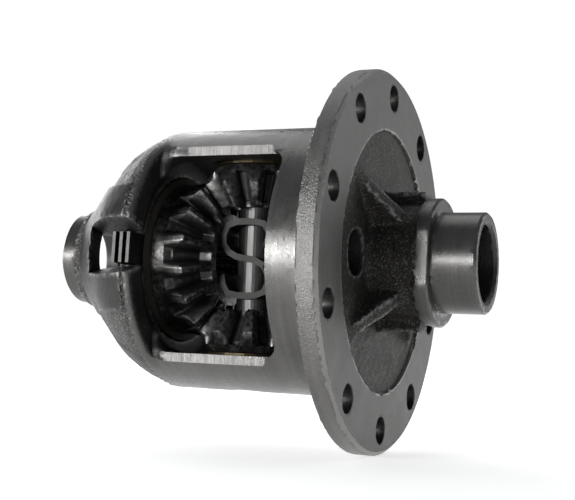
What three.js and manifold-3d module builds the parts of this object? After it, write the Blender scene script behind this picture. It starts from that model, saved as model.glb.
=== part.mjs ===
// Differential gear assembly: a one-piece cast carrier case with a ring-gear flange,
// holding the gear and clutch set of a limited-slip differential.
//
// Millimetres. +X runs along the axle axis towards the ring-gear flange, +Z up along the
// cross shaft. The two windows of the case open towards +Y and -Y. The origin is on the
// axle axis, half way along the case.

import * as THREE from 'three';
import { mergeVertices } from 'three/addons/utils/BufferGeometryUtils.js';
import Module from 'manifold-3d';

const wasm = await Module();
wasm.setup();

// ---------------------------------------------------------------- driving dimensions

const CASE_HALF_LENGTH = 104.25;

// Bearing journals and axle bores.
const JOURNAL_R = 22.62;
const AXLE_BORE_R = 17.2;
const BORE_CHAMFER = 1.6;
const NECK_BORE_R = 19.2;
const JOURNAL_CHAMFER = 1;
const LEFT_SHOULDER = { x: -96.75, r: 24.5 };
const RIGHT_COLLAR = { start: 77.75, end: 84.25, r: 29 };
const PULLER_NOTCH = { start: 77, end: 80.6, halfWidth: 6, depthR: 26.6 };

// Flange that carries the ring gear.
const FLANGE_R = 87.5;
const FLANGE_FACE = 57.75;
const FLANGE_BACK = FLANGE_FACE - 9.4;
const FLANGE_CHAMFER = 1.5;
const BOLT_CIRCLE_R = 76.2;
const BOLT_HOLE_R = 6.2;
const BOLT_COUNT = 10;
const FIRST_BOLT_DEG = 124.45;
const RECESS_R = 60;
const RECESS_FLOOR = 56.25;

// Neck between the flange and the right journal, with its four gussets.
const NECK_R = 26.2;
const NECK_FOOT = [{ rise: 0, wider: 9 }, { rise: 3, wider: 3.2 }, { rise: 9, wider: 0 }];
const GUSSET = { reach: 52, edge: 2.5, top: 74, thickness: 7.5, degrees: [38, 138, 218, 318] };
const OIL_HOLE = { r: 10.3, offset: 38.5 };

// Drum, windows and dome.
const DRUM_R = 62.4;
const DRUM_START = -45.4;
const GEAR_CENTRE = -7.5;
const WINDOW = { halfLength: 31.75, halfHeight: 45, corner: 7 };
const TRIM = { start: -33.5, end: 25.5, halfHeight: 50.5, corner: 8, y: 38.5 };
const DOME_CONE = { start: { x: -90, r: 26.4 }, end: { x: -68, r: 48.8 } };
const DOME_BEND = { x: -59.5, r: 57.6 };
const DOME_END = { x: -46.25, r: 61.3 };
const NOTCH = { outerEnd: -76.25, endR: 41, outerHalf: 11.5, innerHalf: 7.25, depth: 16 };
const NOTCH_PAD = { start: -95.25, end: -57.5, outer: 29, rise: 1.6, crestHalf: 12 };
// The notches, ear slots and oil holes lie on one line, turned by this from the windows' middle.
const NOTCH_TURN_DEG = -2.1;

// Hollow of the case. Distances along X are counted from the gear centre.
const CAVITY_R = 49;
const POCKET_R = 40.5;
const POCKET_START = 39.75;
const POCKET_FLOOR = 52.75;
const HUB_BORE_R = 24;
const CORE = { start: -66, r: 31, bend: -77, end: -90, endR: 19.5, boreStart: -96 };
const EAR_SLOT_R = 53;
const SEAT = { z: 46, r: 26.5 };

// Bevel gears: straight teeth whose cones share one apex at the gear centre.
const SIDE_TEETH = 16;
const PINION_TEETH = 10;
const CONE_DISTANCE = 44;
const FACE_WIDTH = 14;
const PRESSURE_DEG = 22.5;
const PINION_ADDENDUM = 4.9;
const SIDE_ADDENDUM = 3.0;
const TIP_CLEARANCE = 0.9;
const TOOTH_SHIFT = 0.9;
const FLANK_PLAY = 0.2;
const SPLINE_BORE_R = 15.2;
const HUB_R = 22.6;
const HUB_END = 60;
const INNER_FACE = { x: 14, r: 22 };
const SIDE_BACK = { r: 36.6, rim: 7 };
const PINION_BACK = { z: 44, r: 21, heelZ: 40.6, heelR: 24 };
const PINION_TOE = { z: 24.5, r: 12.8 };

// Clutch packs.
const PLATE_THICKNESS = 1.6;
const SHIM_THICKNESS = 1;
const PLATE_GAP = 0.25;
const PLATE_R = 40;
const PLATE_BORE_R = 23;
const STEEL_BORE_R = 24.4;
const EAR = { root: 34, r: 52, halfWidth: 7 };
const FRICTION_PER_SIDE = 4;
const STEEL_PER_SIDE = 3;

// Cross shaft, its lock bolt, the pinion washers and the preload spring.
const SHAFT_R = 9.5;
const SHAFT_HOLE_R = 9.7;
const SHAFT_HALF_LENGTH = 60.5;
const SHAFT_BEVEL = 1.2;
const LOCK = {
  z: 53.5, r: 3, tip: 12, holeR: 3.3, holeEnd: 15,
  headR: 5.2, headStart: -54, headEnd: -49.5, pocketR: 6.3, pocketEnd: -49.2,
};
const WASHER = { z: 44.25, thickness: 1.5, r: 22 };
const SPRING = { halfX: 13.6, halfZ: 19, halfY: 14, thickness: 3, holeR: 10.2 };
// Upper half of the spring's S, as fractions of its half width and half height.
const SPRING_BEND = [[1, 0.45], [0.8, 0.9], [0, 1], [-0.8, 0.9], [-1, 0.45], [-0.6, 0.1]];
const SPRING_STEPS = 22;

// How far a cut runs past the surface that it opens.
const CLEAR = 5;

const BODY_SIDES = 56;
const BORE_SIDES = 40;
const PLATE_SIDES = 28;
const SMALL_SIDES = 20;
const HOLE_SIDES = 16;
const PIN_SIDES = 12;

const DEG = Math.PI / 180;

// ---------------------------------------------------------------- solids

/** Turns a closed three.js geometry into a solid with its faces pointing out. */
function toSolid(geometry) {
  const bare = geometry.clone();
  bare.deleteAttribute('normal');
  bare.deleteAttribute('uv');
  const welded = mergeVertices(bare, 1e-4);
  const points = welded.attributes.position;
  const [a, b, c] = [new THREE.Vector3(), new THREE.Vector3(), new THREE.Vector3()];
  const corners = [];
  let volume = 0;
  for (let i = 0; i < welded.index.count; i += 3) {
    const [p, q, r] = [0, 1, 2].map((k) => welded.index.getX(i + k));
    if (p === q || q === r || r === p) continue;
    corners.push(p, q, r);
    a.fromBufferAttribute(points, p);
    b.fromBufferAttribute(points, q);
    c.fromBufferAttribute(points, r);
    volume += a.dot(b.cross(c));
  }
  if (volume < 0) corners.reverse();
  const vertProperties = new Float32Array(points.array);
  const triVerts = new Uint32Array(corners);
  return new wasm.Manifold(new wasm.Mesh({ numProp: 3, vertProperties, triVerts }));
}

/** Adds a solid to a group as a named mesh. */
function addPart(group, name, solid, look) {
  const { vertProperties, triVerts } = solid.getMesh();
  const geometry = new THREE.BufferGeometry();
  geometry.setAttribute('position', new THREE.BufferAttribute(new Float32Array(vertProperties), 3));
  geometry.setIndex(new THREE.BufferAttribute(new Uint32Array(triVerts), 1));
  geometry.computeVertexNormals();
  const mesh = new THREE.Mesh(geometry, new THREE.MeshStandardMaterial(look));
  mesh.name = name;
  group.add(mesh);
  return mesh;
}

/** Solid of revolution about X from an outline of [x, radius] points that ends on the axis. */
function turned(outline, sides) {
  const points = outline.map(([x, r]) => new THREE.Vector2(r, x));
  return toSolid(new THREE.LatheGeometry(points, sides).rotateZ(-Math.PI / 2));
}

/** Flat ring about X. */
function ring(start, end, innerR, outerR, sides) {
  const outline = [[start, innerR], [start, outerR], [end, outerR], [end, innerR], [start, innerR]];
  return turned(outline, sides);
}

/** Box between two limits on each axis, then turned about X. */
function block([x0, x1], [y0, y1], [z0, z1], degrees = 0) {
  const box = new THREE.BoxGeometry(x1 - x0, y1 - y0, z1 - z0);
  box.translate((x0 + x1) / 2, (y0 + y1) / 2, (z0 + z1) / 2);
  return toSolid(box.rotateX(degrees * DEG));
}

/** Round bar along X at a distance from the axle axis, in the direction of an angle from +Y. */
function barX(r, start, end, distance, degrees, sides = SMALL_SIDES) {
  const bar = new THREE.CylinderGeometry(r, r, end - start, sides).rotateZ(-Math.PI / 2);
  return toSolid(bar.translate((start + end) / 2, distance, 0).rotateX(degrees * DEG));
}

/** Round bar along Z through the gear centre. */
function barZ(r, low, high, sides = SMALL_SIDES) {
  const bar = new THREE.CylinderGeometry(r, r, high - low, sides).rotateX(Math.PI / 2);
  return toSolid(bar.translate(GEAR_CENTRE, 0, (low + high) / 2));
}

/** Bar along Y with an outline drawn in the XZ plane. */
function barY(shape, low, high) {
  const bar = new THREE.ExtrudeGeometry(shape, { depth: high - low, bevelEnabled: false });
  return toSolid(bar.rotateX(Math.PI / 2).translate(0, high, 0));
}

/** Rectangle with rounded corners in the XZ plane. */
function roundedRectangle(x0, x1, z0, z1, corner) {
  const centres = [
    [x1 - corner, z1 - corner], [x0 + corner, z1 - corner],
    [x0 + corner, z0 + corner], [x1 - corner, z0 + corner],
  ];
  const points = centres.flatMap(([x, z], quarter) => [0, 30, 60, 90].map((turn) => {
    const angle = (90 * quarter + turn) * DEG;
    return new THREE.Vector2(x + corner * Math.cos(angle), z + corner * Math.sin(angle));
  }));
  return new THREE.Shape(points);
}

/** Solid through rings of points, turned about X. Open ends get fans, and a loop needs none. */
function loft(rings, isLoop, degrees = 0) {
  const count = rings[0].length;
  const points = rings.flat().flatMap((p) => [p.x, p.y, p.z]);
  const faces = [];
  const last = isLoop ? rings.length : rings.length - 1;
  for (let j = 0; j < last; j += 1) {
    const here = j * count;
    const next = ((j + 1) % rings.length) * count;
    for (let i = 0; i < count; i += 1) {
      const k = (i + 1) % count;
      faces.push(here + i, here + k, next + k, here + i, next + k, next + i);
    }
  }
  if (!isLoop) {
    const top = (rings.length - 1) * count;
    for (let i = 1; i < count - 1; i += 1) {
      faces.push(0, i + 1, i, top, top + i, top + i + 1);
    }
  }
  const geometry = new THREE.BufferGeometry();
  geometry.setAttribute('position', new THREE.Float32BufferAttribute(points, 3));
  geometry.setIndex(faces);
  return toSolid(geometry.rotateX(degrees * DEG));
}

const joinAll = (solids) => solids.reduce((whole, solid) => whole.add(solid));

// ---------------------------------------------------------------- case

/** The dome's outside from the hub to the drum, as [x, radius]. */
function domeOutline() {
  const bend = new THREE.QuadraticBezierCurve(
    new THREE.Vector2(DOME_CONE.end.x, DOME_CONE.end.r),
    new THREE.Vector2(DOME_BEND.x, DOME_BEND.r),
    new THREE.Vector2(DOME_END.x, DOME_END.r),
  );
  return [
    [DOME_CONE.start.x, DOME_CONE.start.r],
    ...bend.getPoints(5).map((p) => [p.x, p.y]),
  ];
}

/** Solid with the case's outside, before gussets and pads. */
function caseOutside() {
  const end = CASE_HALF_LENGTH;
  const outline = [
    [-end, 0],
    [-end, JOURNAL_R - JOURNAL_CHAMFER],
    [-end + JOURNAL_CHAMFER, JOURNAL_R],
    [LEFT_SHOULDER.x, JOURNAL_R],
    [LEFT_SHOULDER.x, LEFT_SHOULDER.r],
    ...domeOutline(),
    [DRUM_START, DRUM_R],
    [FLANGE_BACK, DRUM_R],
    [FLANGE_BACK, FLANGE_R - FLANGE_CHAMFER / 2],
    [FLANGE_BACK + FLANGE_CHAMFER / 2, FLANGE_R],
    [FLANGE_FACE - FLANGE_CHAMFER, FLANGE_R],
    [FLANGE_FACE, FLANGE_R - FLANGE_CHAMFER],
    [FLANGE_FACE, RECESS_R],
    [RECESS_FLOOR, RECESS_R - 1],
    ...NECK_FOOT.map(({ rise, wider }) => [RECESS_FLOOR + rise, NECK_R + wider]),
    [RIGHT_COLLAR.start, NECK_R],
    [RIGHT_COLLAR.start, RIGHT_COLLAR.r],
    [RIGHT_COLLAR.end, RIGHT_COLLAR.r],
    [RIGHT_COLLAR.end, JOURNAL_R],
    [end - JOURNAL_CHAMFER, JOURNAL_R],
    [end, JOURNAL_R - JOURNAL_CHAMFER],
    [end, 0],
  ];
  return turned(outline, BODY_SIDES);
}

/** Rib from the recess floor up to the neck, turned about X to its own angle. */
function gusset(degrees) {
  const root = NECK_R - 4;
  const outline = [
    [RECESS_FLOOR - 1, root],
    [RECESS_FLOOR - 1, GUSSET.reach],
    [RECESS_FLOOR + GUSSET.edge, GUSSET.reach],
    [GUSSET.top, NECK_R + 0.6],
    [GUSSET.top, root],
  ];
  const shape = new THREE.Shape(outline.map(([x, r]) => new THREE.Vector2(x, r)));
  const rib = new THREE.ExtrudeGeometry(shape, { depth: GUSSET.thickness, bevelEnabled: false });
  return toSolid(rib.translate(0, 0, -GUSSET.thickness / 2).rotateX(degrees * DEG));
}

/** Raised cast pad round the notch in the dome, on the side of +Y or -Y. */
function notchPad(side) {
  const crest = [
    [NOTCH_PAD.start, LEFT_SHOULDER.r - 1],
    [DOME_CONE.start.x, DOME_CONE.start.r + NOTCH_PAD.rise],
    [DOME_CONE.end.x, DOME_CONE.end.r + NOTCH_PAD.rise],
    [NOTCH_PAD.end, DOME_BEND.r - 1],
  ];
  const underside = [[NOTCH_PAD.end, 42], [DOME_CONE.end.x, 36], [NOTCH_PAD.start, 10]];
  const shape = new THREE.Shape([
    ...crest.map(([x, r]) => new THREE.Vector2(x, Math.sqrt(r ** 2 - NOTCH_PAD.crestHalf ** 2))),
    ...underside.map(([x, y]) => new THREE.Vector2(x, y)),
  ]);
  const pad = new THREE.ExtrudeGeometry(shape, { depth: 2 * NOTCH_PAD.outer, bevelEnabled: false });
  pad.translate(0, 0, -NOTCH_PAD.outer);
  pad.rotateX((side < 0 ? Math.PI : 0) + NOTCH_TURN_DEG * DEG);
  const inside = turned([
    [LEFT_SHOULDER.x, 0],
    [LEFT_SHOULDER.x, LEFT_SHOULDER.r],
    ...domeOutline().map(([x, r]) => [x, r + NOTCH_PAD.rise]),
    [DOME_END.x, 0],
  ], BODY_SIDES);
  return toSolid(pad).intersect(inside);
}

/** Everything that is hollow about the axle axis. */
function caseHollow() {
  const end = CASE_HALF_LENGTH;
  const left = (distance) => GEAR_CENTRE - distance;
  const right = (distance) => GEAR_CENTRE + distance;
  return turned([
    [-end - 1, 0],
    [-end - 1, AXLE_BORE_R + BORE_CHAMFER + 1],
    [-end + BORE_CHAMFER, AXLE_BORE_R],
    [CORE.boreStart, AXLE_BORE_R],
    [CORE.boreStart, CORE.endR],
    [CORE.end, CORE.endR],
    [CORE.bend, CORE.r],
    [CORE.start - 1, CORE.r],
    [CORE.start, HUB_BORE_R],
    [left(POCKET_FLOOR), HUB_BORE_R],
    [left(POCKET_FLOOR), POCKET_R],
    [left(POCKET_START), POCKET_R],
    [left(POCKET_START), CAVITY_R],
    [right(POCKET_START), CAVITY_R],
    [right(POCKET_START), POCKET_R],
    [right(POCKET_FLOOR), POCKET_R],
    [right(POCKET_FLOOR), HUB_BORE_R],
    [RECESS_FLOOR - 2, HUB_BORE_R],
    [RECESS_FLOOR - 2, NECK_BORE_R],
    [RIGHT_COLLAR.end, NECK_BORE_R],
    [RIGHT_COLLAR.end, AXLE_BORE_R],
    [end - BORE_CHAMFER, AXLE_BORE_R],
    [end + 1, AXLE_BORE_R + BORE_CHAMFER + 1],
    [end + 1, 0],
  ], BORE_SIDES);
}

/** Notch from the window to the hub: its flanks taper from the outside of the dome inwards. */
function notch(side) {
  const section = (x, innerY, outerY) => {
    const slope = (NOTCH.outerHalf - NOTCH.innerHalf) / (outerY - innerY);
    const farY = outerY + 3 * CLEAR;
    const farHalf = NOTCH.outerHalf + slope * (farY - outerY);
    const corners = [[NOTCH.depth, NOTCH.innerHalf], [innerY, NOTCH.innerHalf], [farY, farHalf]];
    const upper = corners.map(([y, z]) => new THREE.Vector3(x, side * y, z));
    const lower = corners.map(([y, z]) => new THREE.Vector3(x, side * y, -z)).reverse();
    return [...upper, ...lower];
  };
  const windowEnd = GEAR_CENTRE - WINDOW.halfLength;
  return loft([
    section(NOTCH.outerEnd, HUB_BORE_R + 3, NOTCH.endR),
    section(windowEnd + 1, CAVITY_R, DRUM_R),
  ], false, NOTCH_TURN_DEG);
}

/** The one-piece case with all of its openings. */
function buildCase() {
  const [windowStart, windowEnd] = [-1, 1].map((side) => GEAR_CENTRE + side * WINDOW.halfLength);
  const [windowHigh, trimHigh] = [WINDOW.halfHeight, TRIM.halfHeight];
  const windowShape = roundedRectangle(
    windowStart, windowEnd, -windowHigh, windowHigh, WINDOW.corner);
  const trimShape = roundedRectangle(
    GEAR_CENTRE + TRIM.start, GEAR_CENTRE + TRIM.end, -trimHigh, trimHigh, TRIM.corner);
  const wide = DRUM_R + CLEAR;

  let body = joinAll([
    caseOutside(),
    notchPad(1),
    notchPad(-1),
    ...GUSSET.degrees.map(gusset),
  ]).subtract(caseHollow());

  // Spot-faced bosses behind the pinions.
  for (const side of [-1, 1]) {
    const [low, high] = side > 0 ? [SEAT.z, CAVITY_R + 3] : [-CAVITY_R - 3, -SEAT.z];
    body = body.add(barZ(SEAT.r, low, high, PLATE_SIDES));
  }
  body = body.subtract(barZ(SEAT.r, -SEAT.z, SEAT.z, PLATE_SIDES));

  const cuts = [
    barY(windowShape, -wide, wide),
    barY(trimShape, TRIM.y, wide),
    barY(trimShape, -wide, -TRIM.y),
    notch(1),
    notch(-1),
    block([windowEnd - 1, GEAR_CENTRE + POCKET_FLOOR], [-EAR_SLOT_R, EAR_SLOT_R],
      [-NOTCH.innerHalf, NOTCH.innerHalf], NOTCH_TURN_DEG),
    barZ(SHAFT_HOLE_R, -wide, wide),
    barX(LOCK.holeR, -DRUM_R, LOCK.holeEnd, LOCK.z, 90, PIN_SIDES),
    barX(LOCK.pocketR, -DRUM_R - 3 * CLEAR, LOCK.pocketEnd, LOCK.z, 90),
  ];
  const holeStart = GEAR_CENTRE + POCKET_FLOOR - 1;
  for (const degrees of [NOTCH_TURN_DEG, NOTCH_TURN_DEG + 180]) {
    cuts.push(barX(OIL_HOLE.r, holeStart, FLANGE_FACE + CLEAR, OIL_HOLE.offset, degrees));
  }
  for (let i = 0; i < BOLT_COUNT; i += 1) {
    const degrees = FIRST_BOLT_DEG + (360 / BOLT_COUNT) * i;
    cuts.push(barX(
      BOLT_HOLE_R, FLANGE_BACK - 1, FLANGE_FACE + 1, BOLT_CIRCLE_R, degrees, HOLE_SIDES));
  }
  for (const side of [-1, 1]) {
    const high = [PULLER_NOTCH.depthR, RIGHT_COLLAR.r + 2];
    const low = [-high[1], -high[0]];
    const halfWidth = PULLER_NOTCH.halfWidth;
    cuts.push(block([PULLER_NOTCH.start, PULLER_NOTCH.end], [-halfWidth, halfWidth],
      side > 0 ? high : low));
  }
  return body.subtract(joinAll(cuts));
}

// ---------------------------------------------------------------- bevel gears

const SIDE_CONE = Math.atan(SIDE_TEETH / PINION_TEETH);
const PINION_CONE = Math.PI / 2 - SIDE_CONE;

/** Involute function of an angle. */
const involute = (angle) => Math.tan(angle) - angle;

/**
 * One tooth as points { cone, turn }: cone is the angle from the gear's axis, turn the angle
 * about it. The flank is the involute of the virtual gear on the back cone.
 */
function toothFlank(teeth, pitchCone, addendum, dedendum, shift) {
  const pitchR = CONE_DISTANCE * Math.tan(pitchCone);
  const virtualTeeth = teeth / Math.cos(pitchCone);
  const pressure = PRESSURE_DEG * DEG;
  const baseR = pitchR * Math.cos(pressure);
  const pitchHalf = Math.PI / (2 * virtualTeeth) + (shift - FLANK_PLAY) / pitchR;
  return [-dedendum, 0, addendum].map((height) => {
    const r = pitchR + height;
    const flankPressure = r > baseR ? Math.acos(baseR / r) : 0;
    const half = pitchHalf + involute(pressure) - involute(flankPressure);
    const gearR = CONE_DISTANCE * Math.sin(pitchCone) + height * Math.cos(pitchCone);
    return { cone: pitchCone + Math.atan(height / CONE_DISTANCE), turn: (half * r) / gearR };
  });
}

/**
 * Bevel gear about an axis. Along the axis, 0 is the cones' apex. The plain rings run from the
 * heel round the back and the bore to the toe, as [distance along the axis, radius].
 */
function bevelGear({ teeth, pitchCone, addendum, dedendum, shift, phase, plainRings, place }) {
  const flank = toothFlank(teeth, pitchCone, addendum, dedendum, shift);
  const profile = [];
  for (let i = 0; i < teeth; i += 1) {
    const centre = phase + (2 * Math.PI * i) / teeth;
    for (const { cone, turn } of flank) profile.push({ cone, angle: centre - turn });
    for (const { cone, turn } of [...flank].reverse()) profile.push({ cone, angle: centre + turn });
  }
  const toothRing = (distance) => profile.map(({ cone, angle }) => {
    const ray = distance / Math.cos(cone - pitchCone);
    return place(ray * Math.cos(cone), ray * Math.sin(cone), angle);
  });
  const plainRing = ([along, r]) => profile.map(({ angle }) => place(along, r, angle));
  const rings = [
    toothRing(CONE_DISTANCE - FACE_WIDTH),
    toothRing(CONE_DISTANCE),
    ...plainRings.map(plainRing),
  ];
  return loft(rings, true);
}

/** Side gear on the side of -X (side -1) or +X (side 1), with a tooth gap at the top. */
function sideGear(side) {
  const back = packStart();
  return bevelGear({
    teeth: SIDE_TEETH,
    pitchCone: SIDE_CONE,
    addendum: SIDE_ADDENDUM,
    dedendum: PINION_ADDENDUM + TIP_CLEARANCE,
    shift: -TOOTH_SHIFT,
    phase: Math.PI / 2 + Math.PI / SIDE_TEETH,
    plainRings: [
      [back - SIDE_BACK.rim, SIDE_BACK.r], [back, SIDE_BACK.r], [back, HUB_R], [HUB_END, HUB_R],
      [HUB_END, SPLINE_BORE_R], [INNER_FACE.x, SPLINE_BORE_R], [INNER_FACE.x, INNER_FACE.r],
    ],
    place: (along, r, angle) => new THREE.Vector3(
      GEAR_CENTRE + side * along, r * Math.cos(angle), r * Math.sin(angle)),
  });
}

/** Pinion below (side -1) or above (side 1) the axle axis, with teeth towards both side gears. */
function pinion(side) {
  return bevelGear({
    teeth: PINION_TEETH,
    pitchCone: PINION_CONE,
    addendum: PINION_ADDENDUM,
    dedendum: SIDE_ADDENDUM + TIP_CLEARANCE,
    shift: TOOTH_SHIFT,
    phase: 0,
    plainRings: [
      [PINION_BACK.heelZ, PINION_BACK.heelR], [PINION_BACK.z, PINION_BACK.r],
      [PINION_BACK.z, SHAFT_HOLE_R], [PINION_TOE.z, SHAFT_HOLE_R], [PINION_TOE.z, PINION_TOE.r],
    ],
    place: (along, r, angle) => new THREE.Vector3(
      GEAR_CENTRE + r * Math.cos(angle), r * Math.sin(angle), side * along),
  });
}

// ---------------------------------------------------------------- clutch packs

/** Distance from the gear centre at which the clutch pack and the side gear's back meet. */
function packStart() {
  const plates = FRICTION_PER_SIDE + STEEL_PER_SIDE;
  return POCKET_FLOOR - plates * PLATE_THICKNESS - SHIM_THICKNESS - (plates + 2) * PLATE_GAP;
}

/** Ring about X on one side of the gear centre, from distance start to distance end. */
function sideRing(side, start, end, innerR, outerR) {
  const [a, b] = [GEAR_CENTRE + side * start, GEAR_CENTRE + side * end].sort((p, q) => p - q);
  return ring(a, b, innerR, outerR, PLATE_SIDES);
}

/** Plate whose two ears sit in the case's slots, so it doesn't turn. */
function steelPlate(side, start, end) {
  const [a, b] = [GEAR_CENTRE + side * start, GEAR_CENTRE + side * end].sort((p, q) => p - q);
  const width = [-EAR.halfWidth, EAR.halfWidth];
  return joinAll([
    sideRing(side, start, end, STEEL_BORE_R, PLATE_R),
    block([a, b], [EAR.root, EAR.r], width, NOTCH_TURN_DEG),
    block([a, b], [-EAR.r, -EAR.root], width, NOTCH_TURN_DEG),
  ]);
}

/** Plates in turn from the gear's back outwards, then the shim against the pocket's floor. */
function addClutchPack(group, side, sideName, looks) {
  let start = packStart() + PLATE_GAP;
  for (let i = 0; i < FRICTION_PER_SIDE + STEEL_PER_SIDE; i += 1) {
    const end = start + PLATE_THICKNESS;
    const number = Math.floor(i / 2) + 1;
    if (i % 2 === 0) {
      const plate = sideRing(side, start, end, PLATE_BORE_R, PLATE_R);
      addPart(group, `friction_plate_${sideName}_${number}`, plate, looks.friction);
    } else {
      addPart(group, `steel_plate_${sideName}_${number}`, steelPlate(side, start, end), looks.plate);
    }
    start = end + PLATE_GAP;
  }
  const shim = sideRing(side, start, start + SHIM_THICKNESS, STEEL_BORE_R, PLATE_R);
  addPart(group, `shim_${sideName}`, shim, looks.plate);
}

// ---------------------------------------------------------------- shaft, bolt, washers, spring

/** Shaft through both pinions, with the lock bolt's hole across its upper end. */
function crossShaft() {
  const [end, straight] = [SHAFT_HALF_LENGTH, SHAFT_HALF_LENGTH - SHAFT_BEVEL];
  const endR = SHAFT_R - SHAFT_BEVEL;
  const outline = [
    [0, -end], [endR, -end], [SHAFT_R, -straight], [SHAFT_R, straight], [endR, end], [0, end],
  ];
  const points = outline.map(([radius, z]) => new THREE.Vector2(radius, z));
  const shaft = new THREE.LatheGeometry(points, BORE_SIDES).rotateX(Math.PI / 2);
  const across = [GEAR_CENTRE - 2 * SHAFT_R, GEAR_CENTRE + 2 * SHAFT_R];
  const bolt = barX(LOCK.holeR, ...across, LOCK.z, 90, PIN_SIDES);
  return toSolid(shaft.translate(GEAR_CENTRE, 0, 0)).subtract(bolt);
}

/** Bolt with a six-sided head that keeps the cross shaft in. */
function lockBolt() {
  return joinAll([
    barX(LOCK.headR, LOCK.headStart, LOCK.headEnd, LOCK.z, 90, 6),
    barX(LOCK.r, LOCK.headEnd - 1, LOCK.tip, LOCK.z, 90, PIN_SIDES),
  ]);
}

/** Thrust washer behind a pinion. */
function pinionWasher(side) {
  const [low, high] = [side * WASHER.z, side * (WASHER.z + WASHER.thickness)].sort((p, q) => p - q);
  return barZ(WASHER.r, low, high, PLATE_SIDES).subtract(barZ(SHAFT_HOLE_R, low - 1, high + 1));
}

/** S-shaped flat spring between the side gears, with holes for the cross shaft. */
function preloadSpring() {
  const half = SPRING.thickness / 2;
  const [w, h] = [SPRING.halfX - half, SPRING.halfZ - half];
  const upper = SPRING_BEND.map(([x, z]) => [x * w, z * h]);
  const route = [...upper, ...upper.map(([x, z]) => [-x, -z]).reverse()];
  const curve = new THREE.CatmullRomCurve3(route.map(([x, z]) => new THREE.Vector3(x, z, 0)));
  const [outer, inner] = [[], []];
  for (let i = 0; i <= SPRING_STEPS; i += 1) {
    const point = curve.getPointAt(i / SPRING_STEPS);
    const along = curve.getTangentAt(i / SPRING_STEPS);
    outer.push(new THREE.Vector2(point.x - along.y * half, point.y + along.x * half));
    inner.push(new THREE.Vector2(point.x + along.y * half, point.y - along.x * half));
  }
  const shape = new THREE.Shape([...outer, ...inner.reverse()]);
  const strip = new THREE.ExtrudeGeometry(shape, { depth: 2 * SPRING.halfY, bevelEnabled: false });
  strip.rotateX(Math.PI / 2).translate(GEAR_CENTRE, SPRING.halfY, 0);
  return toSolid(strip).subtract(barZ(SPRING.holeR, -SPRING.halfZ - CLEAR, SPRING.halfZ + CLEAR));
}

// ---------------------------------------------------------------- assembly

const LOOKS = {
  cast: { color: 0x75746f, roughness: 0.55, metalness: 0.7 },
  gear: { color: 0x4c4b49, roughness: 0.4, metalness: 0.9 },
  friction: { color: 0x35312c, roughness: 0.8, metalness: 0.3 },
  plate: { color: 0x55575a, roughness: 0.35, metalness: 0.9 },
  shaft: { color: 0x9a9ca0, roughness: 0.25, metalness: 1 },
  bolt: { color: 0x3a3a3a, roughness: 0.5, metalness: 0.8 },
  washer: { color: 0x6d6048, roughness: 0.4, metalness: 0.9 },
  spring: { color: 0x3c4148, roughness: 0.45, metalness: 0.9 },
};

const assembly = new THREE.Group();
addPart(assembly, 'case', buildCase(), LOOKS.cast);
for (const [side, sideName] of [[-1, 'left'], [1, 'right']]) {
  addPart(assembly, `side_gear_${sideName}`, sideGear(side), LOOKS.gear);
  addClutchPack(assembly, side, sideName, LOOKS);
}
for (const [side, sideName] of [[1, 'top'], [-1, 'bottom']]) {
  addPart(assembly, `pinion_gear_${sideName}`, pinion(side), LOOKS.gear);
  addPart(assembly, `pinion_washer_${sideName}`, pinionWasher(side), LOOKS.washer);
}
addPart(assembly, 'cross_shaft', crossShaft(), LOOKS.shaft);
addPart(assembly, 'lock_bolt', lockBolt(), LOOKS.bolt);
addPart(assembly, 'preload_spring', preloadSpring(), LOOKS.spring);

export default assembly;
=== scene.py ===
"""Looks of the differential gear assembly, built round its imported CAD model.

The cast case is remade as a fine mesh from a distance field: smooth cast fillets, crisp
machined cuts, and a finish for every face. The gears get true involute teeth and splines.
Every other piece keeps its CAD shape and gets softened edges and its own material.
Lengths are in millimetres until a mesh is made; Blender's own are in metres.
"""

import math

import bpy
import numpy as np
from mathutils import Matrix, Vector


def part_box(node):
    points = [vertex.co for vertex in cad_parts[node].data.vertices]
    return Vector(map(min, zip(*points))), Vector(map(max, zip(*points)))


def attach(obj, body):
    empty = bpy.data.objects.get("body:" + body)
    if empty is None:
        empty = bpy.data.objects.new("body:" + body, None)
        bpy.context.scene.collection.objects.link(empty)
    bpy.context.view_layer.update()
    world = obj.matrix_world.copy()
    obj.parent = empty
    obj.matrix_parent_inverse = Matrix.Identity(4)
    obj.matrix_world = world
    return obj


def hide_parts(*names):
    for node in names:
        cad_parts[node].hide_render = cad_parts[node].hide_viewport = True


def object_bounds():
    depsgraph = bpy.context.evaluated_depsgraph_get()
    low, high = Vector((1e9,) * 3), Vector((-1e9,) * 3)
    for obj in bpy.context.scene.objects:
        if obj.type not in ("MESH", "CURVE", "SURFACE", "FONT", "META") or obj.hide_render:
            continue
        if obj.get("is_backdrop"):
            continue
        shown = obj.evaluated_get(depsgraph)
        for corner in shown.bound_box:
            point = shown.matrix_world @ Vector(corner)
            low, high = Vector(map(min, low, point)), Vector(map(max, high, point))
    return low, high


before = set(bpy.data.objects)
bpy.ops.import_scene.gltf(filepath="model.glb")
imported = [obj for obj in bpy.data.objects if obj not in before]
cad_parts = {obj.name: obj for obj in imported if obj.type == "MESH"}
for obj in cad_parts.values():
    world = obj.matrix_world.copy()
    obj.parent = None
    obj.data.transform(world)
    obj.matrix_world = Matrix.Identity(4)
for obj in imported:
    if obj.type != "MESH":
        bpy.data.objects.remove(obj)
cad_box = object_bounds()
MM = 0.001

# ---------------------------------------------------------------- sizes of the case

CASE_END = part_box("case")[1].x / MM
FLANGE_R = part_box("case")[1].z / MM
GEAR_CENTRE = -7.5
NOTCH_TURN = math.radians(-2.1)

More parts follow.
